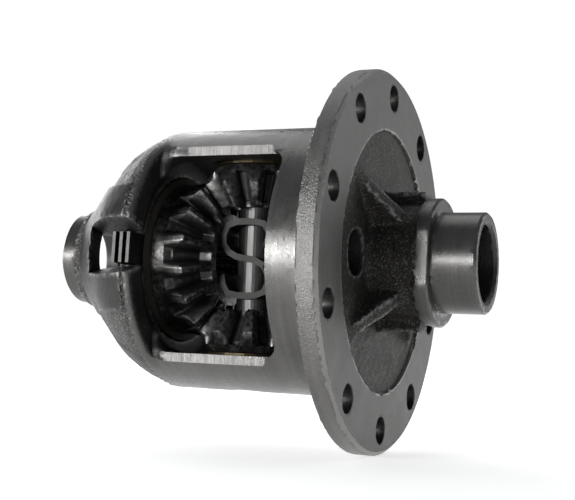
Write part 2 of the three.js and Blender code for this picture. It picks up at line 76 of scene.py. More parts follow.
# Bearing journals, collar and the bore through them.
JOURNAL_R = 22.62
JOURNAL_CHAMFER = 1.0
AXLE_BORE_R = 17.2
AXLE_BORE_CHAMFER = 1.5
AXLE_BORE_START = 60
COLLAR = (77.75, 84.25)
COLLAR_R = 29.0
COLLAR_CHAMFER = (0.6, 0.9)
COLLAR_FILLET = 1.2
COLLAR_FLAT = 25.6
COLLAR_NICK = (76, 80.6)
COLLAR_NICK_HALF = 6
COLLAR_NICK_FLOOR = 26.6

# Dome.
LEFT_SHOULDER = -96.75
HUB_R = 24.5
DOME_SHOULDER = (-93.5, HUB_R + 0.3)
DOME_CONE_START = (-90.0, 26.2)
DOME_BEND = ((-68.0, 48.8), (-59.5, 57.6), (-46.25, 61.3))
DOME_END = (-40.0, 62.0)
FINE_SKIN, FINE_LUMP = 0.16, 4.5
BROAD_SKIN, BROAD_LUMP = 0.22, 17
SINK = 1.3
SINK_ANGLE, SINK_ANGLE_FADE = 54, 5
SINK_START, SINK_FADE = -50, 6
BAND_ANGLE = 52
BAND_START = -66
PAD = (-90.5, -47.0)
PAD_HALF = 29
PAD_RISE = 1.2
PAD_FILLET = 1.8

# Drum, flange and the recess in its face.
DRUM_R = 62.4
DRUM = (-45.4, 51)
DRUM_CHAMFER = (0.5, 0)
FLANGE_FACE = 57.75
FLANGE_BACK = 48.35
FLANGE_CHAMFER = (0.7, 1.7)
RECESS_R = 60.0
RECESS_FLOOR = 56.25
BOLT_CIRCLE_R = 76.2
BOLT_HOLE = (45, 60)
BOLT_HOLE_R = 6.2
BOLT_HOLE_MIDDLE = 53.05
BOLT_HOLE_STRAIGHT = 4.1
BOLTS = [math.radians(124.45 + 36 * i) for i in range(10)]

# Neck, its ledges and its gussets.
NECK_R = 26.2
LEDGE = (52, 77)
LEDGE_R = 31.5
LEDGE_HALF = 5
LEDGE_FILLET = 3
LEDGES = [math.radians(a) + NOTCH_TURN for a in (90, 270)]
GUSSET = (52, 74)
GUSSET_HALF = 3.1
GUSSET_R = 53
GUSSET_FOOT = 57
GUSSET_SLOPE = 1.77
GUSSET_SCALE = 2.03
GUSSET_CREST = 1.2
GUSSET_FILLET = 2.2
RECESS_FILLET = 2.6
GUSSETS = [math.radians(a) for a in (38, 138, 218, 318)]

# Hollow. Lengths from the gear centre along the axle.
CAVITY_R = 49.0
POCKET_R = 40.5
POCKET_START = 39.75
POCKET_FLOOR = 52.75
HUB_BORE_R = 24.0
HUB_BORE_START = -66
INNER_BORE_START = 40
INNER_BORE_RELIEF = 2
CORE_X = (-96, -90, -77, -66)
CORE_R = (19.5, 19.5, 31, 31)
SEAT_R = 26.5
SEAT_HEIGHT = 46
OIL_HOLE = (44, 65)
OIL_HOLE_R = 10.3
OIL_HOLE_PLACE = 38.5
EAR_SLOT_R = 53.0
EAR_SLOT_START = 22
SHAFT_HOLE_R = 9.7
LOCK_HEIGHT = 53.5
LOCK_HOLE = (-70, 15)
LOCK_HOLE_R = 3.3
LOCK_POCKET = (-90, -49.2)
LOCK_POCKET_R = 6.3

# Windows, trims and notches.
WINDOW_HALF = (31.75, 45.0)
WINDOW_CORNER = 7
TRIM_HALF = (29.5, 50.5)
TRIM_SHIFT = 4
TRIM_CORNER = 8
TRIM_Y = 38.5
SHEARED_HEIGHT = 42
SHEARED_START = {"top": -27, "bottom": -35}
FILLET_START, FILLET_FADE = -33, 6
WINDOW_FILLET, TRIM_FILLET = 5, 6
NOTCH = (-76.25, -38)
NOTCH_HALF = 7.25
NOTCH_FLARE = 4.25
NOTCH_FLARE_X = (NOTCH[0], -39)
NOTCH_INNER = (27.0, CAVITY_R)
NOTCH_OUTER = (41.0, DRUM_R)
NOTCH_INNER_END = 16

# Finishes of the case, in the order of its material slots.
CAST, TURNED, MILLED, JOURNAL, SHEARED, BORED, DARK, RIM, EDGE, BAND, NECK = range(11)


# ---------------------------------------------------------------- distance field

def smooth_min(a, b, blend):
    """The lower of two distances, rounded off over blend millimetres, a number or an array."""
    if np.max(blend) <= 0:
        return np.minimum(a, b)
    blend = np.maximum(blend, 1e-6)
    h = np.clip(0.5 + 0.5 * (b - a) / blend, 0, 1)
    return b + (a - b) * h - blend * h * (1 - h)


def smooth_max(a, b, blend):
    """The higher of two distances, rounded off over blend millimetres."""
    return -smooth_min(-a, -b, blend)


class Solid:
    """A distance, negative inside, with the finish of the surface it comes from."""

    def __init__(self, distance, finish):
        self.d = distance
        self.finish = np.full(distance.shape, finish, np.uint8)

    def join(self, distance, finish, blend=0):
        self.finish = np.where(distance < self.d, finish, self.finish).astype(np.uint8)
        self.d = smooth_min(self.d, distance, blend)

    def cut(self, distance, finish, blend=0):
        self.finish = np.where(-distance > self.d, finish, self.finish).astype(np.uint8)
        self.d = -smooth_min(-self.d, distance, blend)


def slab(x, low, high):
    """Distance to the space between two planes across the axle axis."""
    return np.maximum(low - x, x - high)


def turned(x, r, low, high, radius, chamfer=(0, 0)):
    """Cylinder about the axle axis with chamfered ends."""
    bevels = np.maximum(low - x + chamfer[0], x - high + chamfer[1]) + r - radius
    straight = np.maximum(r - radius, slab(x, low, high))
    return np.maximum(straight, bevels * math.sqrt(0.5))


def rounded_box(dx, dy, half_x, half_y, corner):
    """Rectangle with rounded corners, from offsets to its centre."""
    qx = np.abs(dx) - half_x + corner
    qy = np.abs(dy) - half_y + corner
    outside = np.hypot(np.maximum(qx, 0), np.maximum(qy, 0))
    return outside + np.minimum(np.maximum(qx, qy), 0) - corner


def dome_line():
    """The dome's outline as x and radius: a shoulder, a cone and a parabolic bend."""
    t = np.linspace(0, 1, 24)[:, None]
    a, b, c = (np.array(p) for p in DOME_BEND)
    bend = (1 - t) ** 2 * a + 2 * t * (1 - t) * b + t * t * c
    start = LEFT_SHOULDER - 6
    line = np.vstack([(start, HUB_R - 0.3), DOME_SHOULDER, DOME_CONE_START, bend, DOME_END])
    x = np.arange(start, DOME_END[0], 0.5)
    r = np.interp(x, line[:, 0], line[:, 1])
    window = 9
    r = np.pad(r, window // 2, mode="edge")
    return x, np.convolve(r, np.ones(window) / window, mode="valid")


DOME_X, DOME_RADIUS = dome_line()


def dome(x, r, rise):
    """Distance to the dome's cast skin, raised by rise."""
    radius = np.interp(x, DOME_X, DOME_RADIUS) + rise
    slope = np.interp(x, DOME_X, np.gradient(DOME_RADIUS, DOME_X))
    return (r - radius) / np.sqrt(1 + slope * slope)


def lumps(x, y, z, size, seed):
    """Smooth pseudo-random waves of about that size, from -1 to 1."""
    wave = np.zeros_like(x)
    turn = np.random.default_rng(seed)
    waves = 5
    for _ in range(waves):
        direction = turn.normal(size=3)
        length = size * (0.7 + 0.6 * turn.random())
        direction *= 2 * math.pi / (length * np.linalg.norm(direction))
        phase = turn.random() * 2 * math.pi
        wave += np.sin(x * direction[0] + y * direction[1] + z * direction[2] + phase)
    return wave / waves


def ramp(distance, width):
    """From 0 to 1 while distance goes from 0 to width."""
    return np.clip(distance / width, 0, 1)


def spoke(y, z, angle):
    """Distances across and along a spoke at that angle round the axle axis."""
    across = np.abs(-y * math.sin(angle) + z * math.cos(angle))
    return across, y * math.cos(angle) + z * math.sin(angle)


def cast_dome(x, r, depth, high, skin):
    """The dome's skin, with pads beside the notches and smoother bands over the posts."""
    angle = np.degrees(np.arctan2(high, depth))
    rise = -SINK * ramp(SINK_ANGLE - angle, SINK_ANGLE_FADE) * ramp(SINK_START - x, SINK_FADE)
    skinned = np.maximum(dome(x, r, rise) + skin, slab(x, LEFT_SHOULDER, DRUM[0] + 1))
    body = Solid(skinned, np.where((angle > BAND_ANGLE) & (x > BAND_START), BAND, CAST))
    pad = np.maximum(dome(x, r, PAD_RISE) + 0.6 * skin, high - PAD_HALF)
    body.join(np.maximum(pad, slab(x, *PAD)), BAND, PAD_FILLET)
    return body


def cast_neck(x, y, z, r, skin):
    """The neck with its ledges and gussets, on the floor of the recess."""
    neck = np.maximum(r - NECK_R, slab(x, RECESS_FLOOR - 4, COLLAR[0] + 1)) + skin
    for angle in LEDGES:
        across, along = spoke(y, z, angle)
        ledge = np.maximum(across - LEDGE_HALF, along - LEDGE_R)
        ledge = np.maximum(ledge, np.maximum(-along, slab(x, *LEDGE)))
        neck = smooth_min(neck, ledge + skin, LEDGE_FILLET)
    for angle in GUSSETS:
        across, along = spoke(y, z, angle)
        crest = (along - GUSSET_R + GUSSET_SLOPE * (x - GUSSET_FOOT)) / GUSSET_SCALE
        rib = smooth_max(across - GUSSET_HALF, crest, GUSSET_CREST)
        rib = np.maximum(np.maximum(rib, -along), slab(x, *GUSSET)) + skin
        neck = smooth_min(neck, rib, GUSSET_FILLET)
    floor = turned(x, r, 50, RECESS_FLOOR, RECESS_R + 3) + 0.8 * skin
    neck = smooth_min(neck, floor, RECESS_FILLET)
    return np.maximum(neck, r - RECESS_R - 2.5)


def add_turned_stock(body, x, r, depth):
    """Drum, flange, journals and collar."""
    body.join(turned(x, r, *DRUM, DRUM_R, DRUM_CHAMFER), TURNED)
    flange = turned(x, r, FLANGE_BACK, FLANGE_FACE, FLANGE_R, FLANGE_CHAMFER)
    flange = np.maximum(flange, -np.maximum(r - RECESS_R, RECESS_FLOOR - 3 - x))
    finish = np.where((r > FLANGE_R - 0.9) | (x < FLANGE_BACK + 0.4), RIM, MILLED)
    bevelled = (x > FLANGE_FACE - 1.4) & (r + x > FLANGE_R + FLANGE_FACE - 1.9)
    lip = (r < RECESS_R + 0.55) & (x > RECESS_FLOOR + 0.6)
    body.join(flange, np.where(bevelled | lip, EDGE, finish))
    left, right = (JOURNAL_CHAMFER, 0), (0, JOURNAL_CHAMFER)
    body.join(turned(x, r, -CASE_END, LEFT_SHOULDER + 1, JOURNAL_R, left), JOURNAL)
    body.join(turned(x, r, COLLAR[1] - 1, CASE_END, JOURNAL_R, right), JOURNAL)
    collar = turned(x, r, *COLLAR, COLLAR_R, COLLAR_CHAMFER)
    collar = smooth_max(collar, depth - COLLAR_FLAT, COLLAR_FILLET)
    body.join(collar, JOURNAL, COLLAR_FILLET)


def cut_hollow(body, x, r, z, reach):
    """The cavity, plate pockets, bores and the spot-faced seats behind the pinions."""
    span = np.abs(x - GEAR_CENTRE)
    # The cavity's walls, like the window, notch, oil hole and nick cuts, take DARK: iron darkened
    # as painted shade.
    body.cut(np.maximum(r - CAVITY_R, span - POCKET_START), DARK)
    body.cut(np.maximum(r - POCKET_R, span - POCKET_FLOOR), BORED)
    body.cut(turned(x, r, HUB_BORE_START, RECESS_FLOOR - 2, HUB_BORE_R), BORED)
    core = (r - np.interp(x, CORE_X, CORE_R)) * 0.8
    body.cut(np.maximum(core, slab(x, CORE_X[0], CORE_X[-1])), DARK, 1)
    inner = r - AXLE_BORE_R - INNER_BORE_RELIEF
    body.cut(np.maximum(inner, slab(x, INNER_BORE_START, COLLAR[1])), BORED)
    mouth = np.clip(np.abs(x) - CASE_END + AXLE_BORE_CHAMFER, 0, 3)
    body.cut(np.maximum(r - AXLE_BORE_R - mouth, AXLE_BORE_START - np.abs(x)), BORED)
    boss = np.maximum(reach - SEAT_R, slab(np.abs(z), SEAT_HEIGHT, SEAT_HEIGHT + 6))
    body.join(boss, BORED)
    body.cut(np.maximum(reach - SEAT_R, np.abs(z) - SEAT_HEIGHT), BORED)


def cut_windows(body, x, y, z, depth, high):
    """Windows, the sheared trims along their edges, notches, ear slots and oil holes."""
    along = x - GEAR_CENTRE
    ease = ramp(FILLET_START - x, FILLET_FADE)
    body.cut(rounded_box(along, z, *WINDOW_HALF, WINDOW_CORNER), DARK, WINDOW_FILLET * ease)
    trim = rounded_box(along + TRIM_SHIFT, z, *TRIM_HALF, TRIM_CORNER)
    trim = np.maximum(trim, TRIM_Y - np.abs(y) + 0.12 * lumps(x, 0 * y, 0 * z, 5, 4))
    start = np.where(z > 0, SHEARED_START["top"], SHEARED_START["bottom"])
    bright = (high > SHEARED_HEIGHT) & (x > start + 2 * lumps(x, y, z, 6, 6))
    body.cut(trim, np.where(bright, SHEARED, BAND), TRIM_FILLET * ease)

    inner = np.interp(x, NOTCH_FLARE_X, NOTCH_INNER)
    outer = np.interp(x, NOTCH_FLARE_X, NOTCH_OUTER)
    half = NOTCH_HALF + NOTCH_FLARE * np.clip((depth - inner) / (outer - inner), 0, 1.6)
    half += 0.25 * lumps(x, y, z, 9, 5)
    notch = np.maximum((high - half) * 0.95, NOTCH_INNER_END - depth)
    body.cut(np.maximum(notch, slab(x, *NOTCH)), DARK, 0.5)
    ears = np.maximum(high - NOTCH_HALF, depth - EAR_SLOT_R)
    body.cut(np.maximum(ears, slab(x, EAR_SLOT_START, GEAR_CENTRE + POCKET_FLOOR)), BORED)
    oil = np.hypot(depth - OIL_HOLE_PLACE, high) - OIL_HOLE_R
    body.cut(np.maximum(oil, slab(x, *OIL_HOLE)), DARK, 0.8)


def cut_holes(body, x, y, z, reach):
    """Bolt holes, the cross shaft's and lock bolt's holes, and the collar's nicks."""
    holes = np.full(x.shape, 100.0)
    for angle in BOLTS:
        middle = BOLT_CIRCLE_R * math.cos(angle), BOLT_CIRCLE_R * math.sin(angle)
        holes = np.minimum(holes, np.hypot(y - middle[0], z - middle[1]))
    flare = np.clip(np.abs(x - BOLT_HOLE_MIDDLE) - BOLT_HOLE_STRAIGHT, 0, 1)
    body.cut(np.maximum(holes - BOLT_HOLE_R - flare, slab(x, *BOLT_HOLE)), BORED)
    body.cut(reach - SHAFT_HOLE_R, BORED)
    lock = np.hypot(y, z - LOCK_HEIGHT)
    body.cut(np.maximum(lock - LOCK_HOLE_R, slab(x, *LOCK_HOLE)), BORED)
    body.cut(np.maximum(lock - LOCK_POCKET_R, slab(x, *LOCK_POCKET)), MILLED)
    nick = np.maximum(np.abs(y) - COLLAR_NICK_HALF, COLLAR_NICK_FLOOR - np.abs(z))
    body.cut(np.maximum(nick, slab(x, *COLLAR_NICK)), DARK)


def case_field(x, y, z):
    """The case at points x, y, z, in millimetres."""
    r = np.hypot(y, z)
    reach = np.hypot(x - GEAR_CENTRE, y)
    skin = FINE_SKIN * lumps(x, y, z, FINE_LUMP, 1) + BROAD_SKIN * lumps(x, y, z, BROAD_LUMP, 2)
    # Depth towards the windows and height, in a frame turned with the notches.
    depth = np.abs(y * math.cos(NOTCH_TURN) + z * math.sin(NOTCH_TURN))
    high = np.abs(-y * math.sin(NOTCH_TURN) + z * math.cos(NOTCH_TURN))

    body = cast_dome(x, r, depth, high, skin)
    # The neck and recess floor take NECK, an iron darkened as painted shade.
    body.join(cast_neck(x, y, z, r, skin), NECK)
    add_turned_stock(body, x, r, depth)
    cut_hollow(body, x, r, z, reach)
    cut_windows(body, x, y, z, depth, high)
    cut_holes(body, x, y, z, reach)
    return body


# ---------------------------------------------------------------- meshing the field

def grid_distance(low, steps, cell):
    """The field at the corners of a grid, made in slices along X."""
    axes = [low[i] + cell * np.arange(steps[i]) for i in range(3)]
    out = np.empty(steps, np.float32)
    for i in range(0, steps[0], 16):
        x, y, z = np.meshgrid(axes[0][i:i + 16], axes[1], axes[2], indexing="ij")
        out[i:i + 16] = case_field(x, y, z).d
    return out


def edge_crossings(field, grid, low, cell, axis):
    """Where the surface crosses grid edges along axis, and the four cells round each."""
    before, after = [slice(1, -1)] * 3, [slice(1, -1)] * 3
    before[axis] = slice(0, -1)
    after[axis] = slice(1, None)
    near, far = grid[tuple(before)], grid[tuple(after)]
    step = np.eye(3, dtype=int)[axis]
    node = np.argwhere((near < 0) != (far < 0)) + 1 - step
    a = grid[tuple(node.T)].astype(float)
    b = grid[tuple((node + step).T)].astype(float)
    start = low + cell * node

    def point(t):
        p = start.copy()
        p[:, axis] += t * cell
        return p

    t0, t1, fa, fb = np.zeros(len(a)), np.ones(len(a)), a, b
    for _ in range(3):
        t = t0 + (t1 - t0) * np.clip(fa / (fa - fb), 0.02, 0.98)
        f = field(*point(t).T).d
        same = (f < 0) == (fa < 0)
        t0, fa = np.where(same, t, t0), np.where(same, f, fa)
        t1, fb = np.where(same, t1, t), np.where(same, fb, f)
    t = t0 + (t1 - t0) * np.clip(fa / (fa - fb + 1e-12), 0, 1)

    strides = np.array((grid.shape[1] * grid.shape[2], grid.shape[2], 1))
    u, v = strides[(axis + 1) % 3], strides[(axis + 2) % 3]
    base = node @ strides
    around = np.stack([base - u - v, base - v, base, base - u], axis=1)
    flip = a > 0
    around[flip] = around[flip][:, ::-1]
    return point(t), around


def surface_normals(field, points):
    """Directions out of the surface, from the field's slope."""
    normals = np.empty_like(points)
    for i in range(3):
        shift = np.zeros(3)
        shift[i] = 0.02
        normals[:, i] = field(*(points + shift).T).d - field(*(points - shift).T).d
    return normals / (np.linalg.norm(normals, axis=1, keepdims=True) + 1e-12)


def surface_mesh(field, low, high, cell):
    """Dual contouring: one point per cell that the surface passes, on its sharp edges."""
    low = np.array(low, float)
    steps = tuple(np.ceil((np.array(high) - low) / cell).astype(int) + 1)
    grid = grid_distance(low, steps, cell)
    crossings = [edge_crossings(field, grid, low, cell, axis) for axis in range(3)]
    points = np.vstack([found for found, _ in crossings])
    normals = surface_normals(field, points)

    used, index = np.unique(np.vstack([cells for _, cells in crossings]), return_inverse=True)
    index = index.reshape(-1, 4)
    total = len(used)
    edge = np.repeat(np.arange(len(points)), 4)
    where = index.reshape(-1)
    number = np.bincount(where, minlength=total)
    centre = np.stack([np.bincount(where, points[edge, i], total) for i in range(3)], axis=1)
    centre /= number[:, None]

    # Least squares: the point nearest to all the planes that cross its cell.
    n = normals[edge]
    gap = np.einsum("ij,ij->i", n, points[edge] - centre[where])
    ata = np.empty((total, 3, 3))
    atb = np.empty((total, 3))
    for i in range(3):
        atb[:, i] = np.bincount(where, n[:, i] * gap, total)
        for j in range(3):
            ata[:, i, j] = np.bincount(where, n[:, i] * n[:, j], total)
    pull_to_centre = 0.03
    ata += pull_to_centre * number[:, None, None] * np.eye(3)
    move = np.linalg.solve(ata, atb[:, :, None])[:, :, 0]
    corner = np.stack(np.unravel_index(used, steps), axis=1) * cell + low
    return np.clip(centre + move, corner - 0.1 * cell, corner + 1.1 * cell), index


def build_case(cell):
    """The case's mesh, on a grid a little off centre, so that no flat face lies on it."""
    margin = 2.6
    low = (-CASE_END - margin + 0.37, -FLANGE_R - margin + 0.41, -FLANGE_R - margin + 0.43)
    high = (CASE_END + margin, FLANGE_R + margin, FLANGE_R + margin)
    vertices, faces = surface_mesh(case_field, low, high, cell)
    mesh = bpy.data.meshes.new("case_fine")
    mesh.from_pydata((vertices * MM).tolist(), [], faces.tolist())
    centres = vertices[faces].mean(axis=1)
    finish = case_field(*centres.T).finish
    mesh.polygons.foreach_set("material_index", finish.astype(np.int32))
    mesh.validate()
    mesh.update()
    piece = bpy.data.objects.new("case_fine", mesh)
    bpy.context.scene.collection.objects.link(piece)
    return piece


def smooth(mesh, degrees):
    """Smooth shading, broken where faces meet at more than that angle."""
    mesh.polygons.foreach_set("use_smooth", np.ones(len(mesh.polygons), bool))
    mesh.set_sharp_from_angle(angle=math.radians(degrees))


# ---------------------------------------------------------------- materials

# Textures that follow the axle or the radius are stretched this much the other ways.
ACROSS = 0.03


def calculated(nodes, links, operation, *values):
    """Result of a Math node on those values, each a number or a socket."""
    node = nodes.new("ShaderNodeMath")
    node.operation = operation
    for socket, value in zip(node.inputs, values):
        if isinstance(value, (int, float)):
            socket.default_value = value
        else:
            links.new(value, socket)
    return node.outputs[0]


def coordinate(nodes, links, kind):
    """Where a texture is read: the point itself, its place along the axle, or its radius."""
    where = nodes.new("ShaderNodeTexCoord").outputs["Object"]
    if kind == "solid":
        return where
    parts = nodes.new("ShaderNodeSeparateXYZ")
    links.new(where, parts.inputs[0])
    x, y, z = (parts.outputs[axis] for axis in "XYZ")
    joined = nodes.new("ShaderNodeCombineXYZ")
    links.new(calculated(nodes, links, "MULTIPLY", y, ACROSS), joined.inputs["Y"])
    if kind == "along":
        links.new(x, joined.inputs["X"])
        links.new(calculated(nodes, links, "MULTIPLY", z, ACROSS), joined.inputs["Z"])
    else:
        squares = [calculated(nodes, links, "MULTIPLY", part, part) for part in (y, z)]
        total = calculated(nodes, links, "ADD", *squares)
        links.new(calculated(nodes, links, "SQRT", total), joined.inputs["X"])
    return joined.outputs[0]


def noise(nodes, links, where, size, detail=2.0, rough=0.6):
    """Noise from 0 to 1 whose lumps are about that many millimetres across."""
    texture = nodes.new("ShaderNodeTexNoise")
    texture.inputs["Scale"].default_value = 1 / (size * MM)
    texture.inputs["Detail"].default_value = detail
    texture.inputs["Roughness"].default_value = rough
    links.new(where, texture.inputs["Vector"])
    return texture.outputs["Fac"]


def spread(nodes, links, value, low, high, out_low=0.0, out_high=1.0):
    """Value stretched from low..high to out_low..out_high and held there."""
    remap = nodes.new("ShaderNodeMapRange")
    ends = {"From Min": low, "From Max": high, "To Min": out_low, "To Max": out_high}
    for name, number in ends.items():
        remap.inputs[name].default_value = number
    links.new(value, remap.inputs["Value"])
    return remap.outputs["Result"]


def mixed(nodes, links, factor, a, b):
    """Colour between a and b, each a tuple or a socket."""
    mix = nodes.new("ShaderNodeMix")
    mix.data_type = "RGBA"
    links.new(factor, mix.inputs["Factor"])
    for socket, value in ((mix.inputs[6], a), (mix.inputs[7], b)):
        if isinstance(value, tuple):
            socket.default_value = (*value, 1)
        else:
            links.new(value, socket)
    return mix.outputs[2]


def grey(level, warmth=0.0):
    """Linear colour of that grey level, yellower with warmth."""
    return (level * (1 + warmth), level, level * (1 - 1.4 * warmth))


def bumped(nodes, links, height, depth, under=None):
    """Normal of a relief that many millimetres deep, laid over another normal."""
    relief = nodes.new("ShaderNodeBump")
    relief.inputs["Strength"].default_value = 1.0
    relief.inputs["Distance"].default_value = depth * MM
    links.new(height, relief.inputs["Height"])
    if under:
        links.new(under, relief.inputs["Normal"])
    return relief.outputs["Normal"]


RUST = (0.115, 0.048, 0.020)


def metal(name, dark, light, roughness, metallic=0.85, grain=0.5, bump=0.25, lines=None,
          line_size=0.35, line_depth=0.12, line_tone=0.42, edge_wear_and_highlight=None, specks=0.0, rust=0.0,
          stain=14.0, warmth=0.02):
    """Iron or steel: mottled colour, fine grain, tool lines, bright worn edges with a painted
    highlight on them, and some rust.

    Grain and line sizes are in millimetres. Lines run round the axle at each place along it
    ("along") or at each radius ("radius"). Specks are the level of bright points on a casting.
    """
    made = bpy.data.materials.new(name)
    made.use_nodes = True
    nodes, links = made.node_tree.nodes, made.node_tree.links
    shader = nodes["Principled BSDF"]
    shader.inputs["Metallic"].default_value = metallic
    where = coordinate(nodes, links, "solid")

    mottle = noise(nodes, links, where, stain, 4.0)
    speck = noise(nodes, links, where, grain * 1.6, 3.0, 0.7)
    fine_part = spread(nodes, links, speck, 0.3, 0.7)
    broad_part = spread(nodes, links, mottle, 0.32, 0.68, 0, 0.55)
    blend = calculated(nodes, links, "MULTIPLY_ADD", fine_part, 0.45, broad_part)
    colour = mixed(nodes, links, blend, grey(dark, warmth), grey(light, warmth))
    height = noise(nodes, links, where, grain, 4.0, 0.65)

    if lines:
        track = coordinate(nodes, links, lines)
        fine = noise(nodes, links, track, line_size, 3.0, 0.75)
        broad = noise(nodes, links, track, line_size * 9, 2.0, 0.6)
        tone = spread(nodes, links, fine, 0.3, 0.7, 0.0, line_tone)
        colour = mixed(nodes, links, tone, colour, grey(light * 1.35, warmth))
        tone = spread(nodes, links, broad, 0.35, 0.65, 0.0, 0.3)
        colour = mixed(nodes, links, tone, colour, grey(dark * 0.8, warmth))

    if specks:
        points = spread(nodes, links, noise(nodes, links, where, 0.8, 1.0, 0.4), 0.54, 0.68)
        colour = mixed(nodes, links, points, colour, grey(specks, warmth))
        pits = noise(nodes, links, where, 1.7, 1.0, 0.4)
        pits = spread(nodes, links, pits, 0.56, 0.7, 0, 0.7)
        colour = mixed(nodes, links, pits, colour, grey(dark * 0.4))

    if rust:
        patch = noise(nodes, links, where, 21, 5.0, 0.65)
        amount = spread(nodes, links, patch, 0.62, 0.72, 0, rust)
        colour = mixed(nodes, links, amount, colour, RUST)

    # Convex edges, found by pointiness, are lightened: partly worn bare metal, partly a painted
    # highlight.
    if edge_wear_and_highlight is not None:
        pointed = nodes.new("ShaderNodeNewGeometry").outputs["Pointiness"]
        edge = spread(nodes, links, pointed, 0.515, 0.56, 0, 1)
        patches = spread(nodes, links, noise(nodes, links, where, 2.2, 3.0), 0.38, 0.6)
        ragged = calculated(nodes, links, "MULTIPLY", edge, patches)
        colour = mixed(nodes, links, ragged, colour, grey(edge_wear_and_highlight, 0.01))

    links.new(colour, shader.inputs["Base Color"])
    links.new(spread(nodes, links, mottle, 0.3, 0.7, roughness - 0.06, roughness + 0.08),
              shader.inputs["Roughness"])

    normal = bumped(nodes, links, height, bump)
    if lines:
        normal = bumped(nodes, links, fine, line_depth, normal)
    links.new(normal, shader.inputs["Normal"])
    return made


CASE_LOOKS = [
    metal("cast_iron", 0.03, 0.075, 0.5, grain=1.0, bump=0.8, edge_wear_and_highlight=0.35, specks=0.2,
          rust=0.4, metallic=0.7),
    metal("turned_iron", 0.075, 0.13, 0.29, lines="along", bump=0.05),
    metal("faced_iron", 0.095, 0.14, 0.46, lines="radius", bump=0.1, rust=0.1, line_tone=0.25),
    metal("journal_iron", 0.065, 0.105, 0.28, lines="along", bump=0.03, line_size=0.25,
          line_depth=0.04),
    metal("sheared_iron", 0.07, 0.22, 0.36, lines="along", line_size=1.3, line_depth=0.45,
          line_tone=1.0),
    metal("bored_iron", 0.025, 0.05, 0.38, lines="along", bump=0.06),
    # Darker iron for the cavity, window cuts, notches, oil holes and nicks: painted shade of those
    # hollows.
    metal("shade_darkened_cast_iron", 0.015, 0.038, 0.45, grain=1.1, bump=0.5, edge_wear_and_highlight=0.2, metallic=0.7),
    metal("rim_iron", 0.11, 0.19, 0.36, lines="along", bump=0.35, grain=0.8, line_size=0.5,
          line_tone=0.2),
    metal("edge_iron", 0.2, 0.3, 0.32),
    metal("smooth_cast_iron", 0.023, 0.05, 0.45, grain=0.8, bump=0.25, edge_wear_and_highlight=0.3, rust=0.15,
          metallic=0.75),
    # Cast iron of the neck and recess floor, darkened as painted shade of the recess; its rust and
    # specks are its own.
    metal("neck_iron_with_painted_shade", 0.013, 0.032, 0.5, grain=1.0, bump=0.55, edge_wear_and_highlight=0.3, specks=0.1,
          rust=0.45, metallic=0.7, warmth=0.06),
]


# ---------------------------------------------------------------- pieces

# Teeth, addendum, dedendum and the shift of the tooth's thickness.
GEARS = {"side": (16, 3.0, 5.8, -0.9), "pinion": (10, 4.9, 3.9, 0.9)}
CONE_DISTANCE = 44.0
FACE_WIDTH = 14.0
PRESSURE = math.radians(22.5)
FLANK_PLAY = 0.2
ROOT_FILLET = 0.9
END_EASE = 0.5
END_DROP = 0.45
SPLINES = 28
SPLINE_DEPTH = 1.3


def involute(angle):
    return math.tan(angle) - angle


def tooth_profile(kind):
    """Cone angle and turn of the points of one tooth and one root, and the pitch cone."""
    teeth, addendum, dedendum, shift = GEARS[kind]
    ratio = GEARS["side"][0] / GEARS["pinion"][0]
    pitch_cone = math.atan(ratio) if kind == "side" else math.atan(1 / ratio)
    pitch_r = CONE_DISTANCE * math.tan(pitch_cone)
    virtual = teeth / math.cos(pitch_cone)
    base_r = pitch_r * math.cos(PRESSURE)
    pitch_half = math.pi / (2 * virtual) + (shift - FLANK_PLAY) / pitch_r

    def place(height, drop=0.0):
        r = pitch_r + height
        angle = math.acos(base_r / r) if r > base_r else 0.0
        half = pitch_half + involute(PRESSURE) - involute(angle)
        gear_r = CONE_DISTANCE * math.sin(pitch_cone) + height * math.cos(pitch_cone)
        return half * r / gear_r

    # From the middle of the root up one flank to the tip, as height and turn.
    half_step = math.pi / teeth
    root = place(-dedendum + ROOT_FILLET)
    side = [(-dedendum, half_step + (root + 0.03 - half_step) * t) for t in (0, 0.5, 1)]
    side.append((-dedendum + 0.25, root + 0.012))
    for height in np.linspace(-dedendum + ROOT_FILLET, addendum - 0.35, 7):
        side.append((height, place(height)))
    tip = place(addendum)
    rounded = tip - 0.012
    side += [(addendum - 0.08, tip - 0.001), (addendum, rounded), (addendum, rounded * 0.5)]
    rising = [(-turn, height) for height, turn in side]
    falling = [(turn, height) for height, turn in reversed(side[1:])]
    return rising + falling, pitch_cone


def loop_mesh(name, rings, material, degrees=32):
    """Closed mesh through rings of points, the last joined to the first."""
    count = len(rings[0])
    vertices = np.vstack(rings) * MM
    i, j = np.meshgrid(np.arange(len(rings)), np.arange(count), indexing="ij")
    i, j = i.ravel(), j.ravel()
    ring, after = i * count, (i + 1) % len(rings) * count
    along = (j + 1) % count
    faces = np.stack([ring + j, ring + along, after + along, after + j], 1)
    mesh = bpy.data.meshes.new(name)
    mesh.from_pydata(vertices.tolist(), [], faces.tolist())
    if sum(f.center.dot(f.normal) * f.area for f in mesh.polygons) < 0:
        mesh.flip_normals()
    mesh.materials.append(material)
    smooth(mesh, degrees)
    piece = bpy.data.objects.new(name, mesh)
    bpy.context.scene.collection.objects.link(piece)
    return piece


